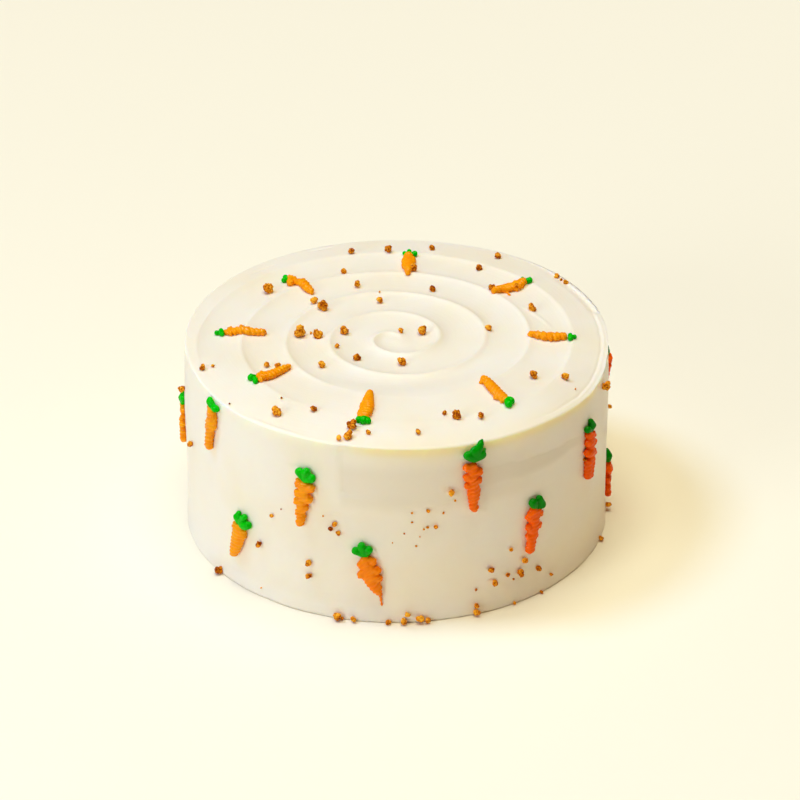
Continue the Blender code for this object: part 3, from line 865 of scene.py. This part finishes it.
piping = {
    "crownLead": 0.9 * mm,
    "wallHeight": 2.05 * mm,
    "topHeight": 1.8 * mm,
    # a line's blobs: how close, as a share of their width, and how high, as a share of their height
    "spacing": 0.3,
    "lift": 0.8,
    "bridge": (2.4 * mm, 6),
    "voxel": 0.3 * mm,
    "grain": (0.1 * mm, 1.3 * mm),
    # ridges across the roots, from piping to and fro: spacing, slant, how far they stray, in what lumps
    "ridges": (2.1 * mm, 0.3, 0.35, 4 * mm),
    # how deep the front's side carrots are coloured, from 0 to 1, in order: painted shade, deeper towards
    # the shaded right; the top's are as pale as the first
    "frontStains": (0.0, 0.0, 0.0, 0.1, 0.45, 0.8, 0.95, 1.0, 1.0, 1.0),
    # the back's differ from one batch of icing to the next
    "backStains": (1.0, 0.5, 0.8, 0.2),
    # the back's repeat the front's shapes: (whose lines, 1 or -1 for their mirror image)
    "backShapes": ((4, -1), (6, 1), (5, -1), (8, -1), (7, 1), (3, -1), (4, 1), (6, -1), (5, 1)),
}
# (piece, node, material, slot, depth of its ridges)
carrotParts = (
    ("_pipedRoot", "_root", orangeMaterial, "orange_icing", 0.17 * mm),
    ("_pipedLeaves", "_tuft", greenMaterial, "green_icing", 0.0),
)


def addLine(bm, line, height):
    # a row of overlapping blobs, no taller than a squeezed line of icing stands
    for (x0, y0, half0), (x1, y1, half1) in zip(line, line[1:]):
        steps = math.ceil(math.hypot(x1 - x0, y1 - y0) / (piping["spacing"] * min(half0, half1)))
        for i in range(steps + 1):
            share = i / steps
            half = (half0 + (half1 - half0) * share) * mm
            tall = min(half, height)
            spot = Vector((x0 + (x1 - x0) * share, y0 + (y1 - y0) * share, 0)) * mm
            spot.z = piping["lift"] * tall
            shape = Matrix.Translation(spot) @ Matrix.Diagonal((half, half, tall, 1))
            bmesh.ops.create_icosphere(bm, subdivisions=3, radius=1.0, matrix=shape)


def pipe(lines, carrot, name, part):
    pieceEnd, nodeEnd, material, slotName, ridgeDepth = part
    bm = bmesh.new()
    for line in lines:
        addLine(bm, [(carrot["mirror"] * x, y, half) for x, y, half in line], carrot["height"])
    piped = remeshed(bm, piping["voxel"])
    bmesh.ops.smooth_vert(
        piped, verts=piped.verts, factor=0.5, use_axis_x=True, use_axis_y=True, use_axis_z=True
    )
    piped.normal_update()
    spacing, slant, wander, wanderSize = piping["ridges"]
    grainDepth, grainSize = piping["grain"]
    for vert in piped.verts:
        across, along, _ = vert.co
        turn = (along + slant * carrot["mirror"] * across) / spacing + wander * ripple(vert.co, wanderSize)
        ridge = ridgeDepth * math.sin(math.tau * turn)
        vert.co += vert.normal * (ridge + grainDepth * ripple(vert.co, grainSize))
    # each carrot's depth of colour: painted shade on the front's, a batch's tone on the back's
    stain = piped.verts.layers.float.new("stain")
    for vert in piped.verts:
        vert[stain] = carrot["stain"]
        vert.co = carrot["place"](*vert.co)
    bmesh.ops.recalc_face_normals(piped, faces=piped.faces)
    piece = pieceFrom(piped, name + pieceEnd, material, [name + nodeEnd])
    return len(piece.data.polygons)


def makeCarrot(name):
    onTop = name.startswith("top")
    number = int(name.split("_")[-1])
    place, length = placerFor(name, onTop)
    carrot = {
        "place": place,
        "mirror": 1,
        "height": piping["topHeight"] if onTop else piping["wallHeight"],
    }
    if name in carrotLines:
        # the front's depth of colour is painted shade, deeper towards the shaded right
        carrot["stain"] = 0.0 if onTop else piping["frontStains"][number - 1]
        rootLines, tuftLines = carrotLines[name]
    else:
        model, carrot["mirror"] = piping["backShapes"][number % len(piping["backShapes"])]
        carrot["stain"] = piping["backStains"][number % len(piping["backStains"])]
        rootLines, tuftLines = carrotLines[f"side_carrot_{model:02}"]
        longest = max(y for line in rootLines for x, y, half in line) * mm
        rootLines = [[(x, y * length / longest, half) for x, y, half in line] for line in rootLines]
    return sum(pipe(lines, carrot, name, part) for lines, part in zip((rootLines, tuftLines), carrotParts))


carrotNames = sorted(name[:-5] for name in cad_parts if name.endswith("_root"))
carrotFaces = sum(makeCarrot(name) for name in carrotNames)
print("carrots piped:", len(carrotNames), "with", carrotFaces, "faces")


# crumbs: (angle, radius in mm, size in mm) on the top and (angle, height in mm, size in mm) on the wall
crumbs = {
    "onTop": (
        (145, 78, 5.6), (141, 52, 4.2), (144.5, 44.5, 5.8), (105, 89, 3.8), (93, 88, 4.4), (112, 70, 3.6),
        (111, 55, 4.4), (103, 36, 3.8), (101, 44, 1.2), (79, 93, 3.8), (83, 68, 4.8), (69, 50, 3.4),
        (59, 81, 3.8), (58, 97, 4), (38, 102, 3.2), (36, 102, 1.6), (34, 102, 3.2), (44, 65, 4.4),
        (38, 75, 2.8), (21, 71, 4.8), (180.5, 47.5, 6.6), (177.5, 41.5, 1.8), (183.5, 38, 5.6),
        (176, 25.5, 5), (205, 31.5, 2.6), (233, 31, 4.2), (52, 3.5, 3), (12, 13, 5.2), (275, 28.5, 4.6),
        (222, 47.5, 3.9), (6, 44, 3.8), (207, 69, 3.3), (210, 65, 3.8), (201, 98, 3.8), (201, 93, 2.2),
        (234, 93.5, 4.8), (243, 84, 3.8), (230, 83, 1.5), (220, 101, 1.4), (257, 91, 5.2), (257, 97.5, 5),
        (255, 100, 3), (262, 93.5, 3), (276, 93.5, 3.2), (286, 81, 2.8), (289, 85, 4.6), (296, 88, 4),
        (327, 77, 4.4), (333, 89, 3.8), (331, 96, 1.4),
    ),
    "onWall": (
        (236, 48, 2.4), (239, 53, 1.2), (232, 30, 3.8), (216, 2, 4.2), (232, 5, 1.2), (199, 56, 3.8),
        (251, 55, 1.2), (253, 49, 2.8), (254, 52, 3.3), (255, 47, 2.8), (247, 28, 3.4), (247, 21, 3.4),
        (255, 2, 5), (256, 1, 1.8), (259, 1, 3.2), (268, 1, 3.2), (272, 1, 3.6), (276, 1.5, 4.4),
        (278, 1.5, 3.6), (273, 5, 3.2), (291, 2, 4), (291, 5, 3), (302, 1, 2), (311, 1, 2), (284, 70, 3.8),
        (285, 65, 1.5), (278, 61, 2.4), (274, 60, 1.3), (274, 55, 1.2), (282, 59, 1.5), (280, 52, 2.4),
        (278, 52, 1.8), (277, 51, 1.2), (276, 47, 1.1), (272, 49, 1), (275, 42, 1.2), (269, 44, 1),
        (301, 31, 2.4), (305, 23, 3.8), (304, 17, 4.4), (300, 18, 2.6), (302, 14, 1.3), (295, 23, 3.4),
        (296, 16, 3.8), (291, 14, 1.8), (310, 15, 3.4), (315, 7, 2.4), (310, 46, 2.8), (308, 36, 2.4),
        (329, 59, 2.4), (358, 59.5, 2.8), (343, 86, 5), (358, 3, 3.6), (342, 1, 2.8), (187.5, 74.5, 4),
    ),
    "backClusters": 13,
    # up to each size a crumb has so many lumps, each of this share of its size
    "lumps": ((1.7 * mm, 1, 1.0), (2.6 * mm, 2, 0.86), (4.2 * mm, 4, 0.76), (math.inf, 7, 0.66)),
    "lumpSpread": 0.62,
    "lumpStretch": (0.75, 1.2),
    "lift": 0.36,
    "voxel": 0.25 * mm,
    "roughness": 0.2 * mm,
    "pits": ((1.0, 1.5 * mm), (0.6, 0.7 * mm)),
    "above": 40 * mm,
}


def surfaceHit(trees, origin, direction):
    # the first icing or piping that a straight line meets
    nearest = None
    for tree in trees:
        spot, normal, _, distance = tree.ray_cast(origin, direction)
        if spot and (nearest is None or distance < nearest[2]):
            nearest = (spot, normal, distance)
    return nearest


def crumbPlaces(chance):
    # (origin, direction, size) of the line along which each crumb is pressed on
    places = []
    for degrees, radius, size in crumbs["onTop"]:
        turn = math.radians(degrees)
        level = crestLevel + crumbs["above"]
        origin = Vector((radius * mm * math.cos(turn), radius * mm * math.sin(turn), level))
        places.append((origin, Vector((0, 0, -1)), size * mm))
    onWall = list(crumbs["onWall"])
    for _ in range(crumbs["backClusters"]):
        degrees, height = chance.uniform(12, 170), chance.choice((2, 12, 24, 40, 58, 70, 82))
        for _ in range(chance.randint(2, 5)):
            size = chance.choice((1, 1.5, 2, 2.5, 3, 4))
            atDegrees = degrees + chance.uniform(-5, 5)
            atHeight = max(height + chance.uniform(-8, 8), size / 2)
            onWall.append((atDegrees, atHeight, size))
    for degrees, height, size in onWall:
        turn = math.radians(degrees)
        outward = Vector((math.cos(turn), math.sin(turn), 0))
        level = Vector((0, 0, max(height * mm, 0.45 * size * mm)))
        places.append((outward * 2 * wallRadius + level, -outward, size * mm))
    return places


def addCrumb(bm, spot, normal, size, chance):
    lumps, share = next((count, share) for limit, count, share in crumbs["lumps"] if size < limit)
    lumpSize = size * share
    for _ in range(lumps):
        aside = Vector([chance.uniform(-1, 1) for _ in range(3)]) * (size - lumpSize) * crumbs["lumpSpread"]
        centre = spot + normal * (crumbs["lift"] * size) + aside
        turn = chance.uniform(0, math.tau)
        axis = Vector((chance.random(), chance.random(), 1))
        stretch = [chance.uniform(*crumbs["lumpStretch"]) for _ in range(3)]
        bulk = Matrix.Translation(centre) @ Matrix.Rotation(turn, 4, axis) @ Matrix.Diagonal((*stretch, 1))
        bmesh.ops.create_icosphere(bm, subdivisions=1, radius=lumpSize / 2, matrix=bulk)


def makeCrumbs():
    graph = bpy.context.evaluated_depsgraph_get()
    trees = [BVHTree.FromObject(piece, graph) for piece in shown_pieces()]
    chance = random.Random(8)
    bm = bmesh.new()
    for origin, direction, size in crumbPlaces(chance):
        hit = surfaceHit(trees, origin, direction)
        if hit:
            addCrumb(bm, hit[0], hit[1], size, chance)
    torn = remeshed(bm, crumbs["voxel"])
    torn.normal_update()
    for vert in torn.verts:
        rough = sum(share * ripple(vert.co, size) for share, size in crumbs["pits"])
        vert.co += vert.normal * crumbs["roughness"] * rough
    bmesh.ops.recalc_face_normals(torn, faces=torn.faces)
    return pieceFrom(torn, "cakeCrumbs", crumbMaterial)


cakeCrumbs = makeCrumbs()
print("crumbs scattered:", len(cakeCrumbs.data.polygons), "faces")


# floor, light and camera
studio = {
    "floor": "#FBF4DE",
    # (from, elevation, strength, spread in degrees, colour)
    "window": (175, 57, 1.4, 16, (0.36, 0.57, 1.0)),
    "skylight": (0, 89, 2.28, 40, (1.0, 1.0, 0.78)),
    # (from, elevation, distance in m, watts, size in m, colour)
    "lamp": (225, 20, 1.4, 6.3, 0.6, (0.78, 0.9, 1.0)),
    "ambient": (1.0, 0.23, 0.1),
    "ambientStrength": 0.1,
}
camera = {"elevation": 29.46, "distance": 1.4033, "lens": 128.95, "aim": (0.0017, 0.0, 0.061)}


def fromDirection(degrees, elevation, distance):
    turn, rise = math.radians(degrees), math.radians(elevation)
    level = math.cos(rise)
    return Vector((math.cos(turn) * level, math.sin(turn) * level, math.sin(rise))) * distance


def makeFloor():
    bm = bmesh.new()
    bmesh.ops.create_grid(bm, x_segments=1, y_segments=1, size=4.0)
    mesh = bpy.data.meshes.new("floor")
    bm.to_mesh(mesh)
    bm.free()
    floor = bpy.data.objects.new("floor", mesh)
    bpy.context.scene.collection.objects.link(floor)
    material, _, shader = newMaterial("palePaper")
    shader.inputs["Base Color"].default_value = hexColour(studio["floor"])
    shader.inputs["Roughness"].default_value = 0.9
    shader.inputs["Specular IOR Level"].default_value = 0.0
    mesh.materials.append(material)


def addLight(name, kind, place, settings):
    data = bpy.data.lights.new(name, kind)
    for key, value in settings.items():
        setattr(data, key, value)
    light = bpy.data.objects.new(name, data)
    light.location = place
    light.rotation_euler = (-place).to_track_quat("-Z", "Y").to_euler()
    bpy.context.scene.collection.objects.link(light)


def makeLights():
    for name in ("window", "skylight"):
        degrees, elevation, strength, spread, colour = studio[name]
        settings = {"energy": strength, "angle": math.radians(spread), "color": colour}
        addLight(name, "SUN", fromDirection(degrees, elevation, 2.0), settings)
    degrees, elevation, distance, watts, size, colour = studio["lamp"]
    settings = {"energy": watts, "shape": "DISK", "size": size, "color": colour}
    addLight("lamp", "AREA", fromDirection(degrees, elevation, distance), settings)
    world = bpy.data.worlds.new("studio")
    bpy.context.scene.world = world
    world.use_nodes = True
    sky = world.node_tree.nodes["Background"]
    sky.inputs["Color"].default_value = (*studio["ambient"], 1.0)
    sky.inputs["Strength"].default_value = studio["ambientStrength"]


def makeCamera():
    data = bpy.data.cameras.new("camera")
    data.lens = camera["lens"]
    data.sensor_width = 36
    view = bpy.data.objects.new("camera", data)
    aim = Vector(camera["aim"])
    view.location = aim + fromDirection(-90, camera["elevation"], camera["distance"])
    view.rotation_euler = (aim - view.location).to_track_quat("-Z", "Y").to_euler()
    bpy.context.scene.collection.objects.link(view)
    bpy.context.scene.camera = view


makeFloor()
makeLights()
makeCamera()
bpy.context.scene.view_settings.view_transform = "Standard"
print("studio set")
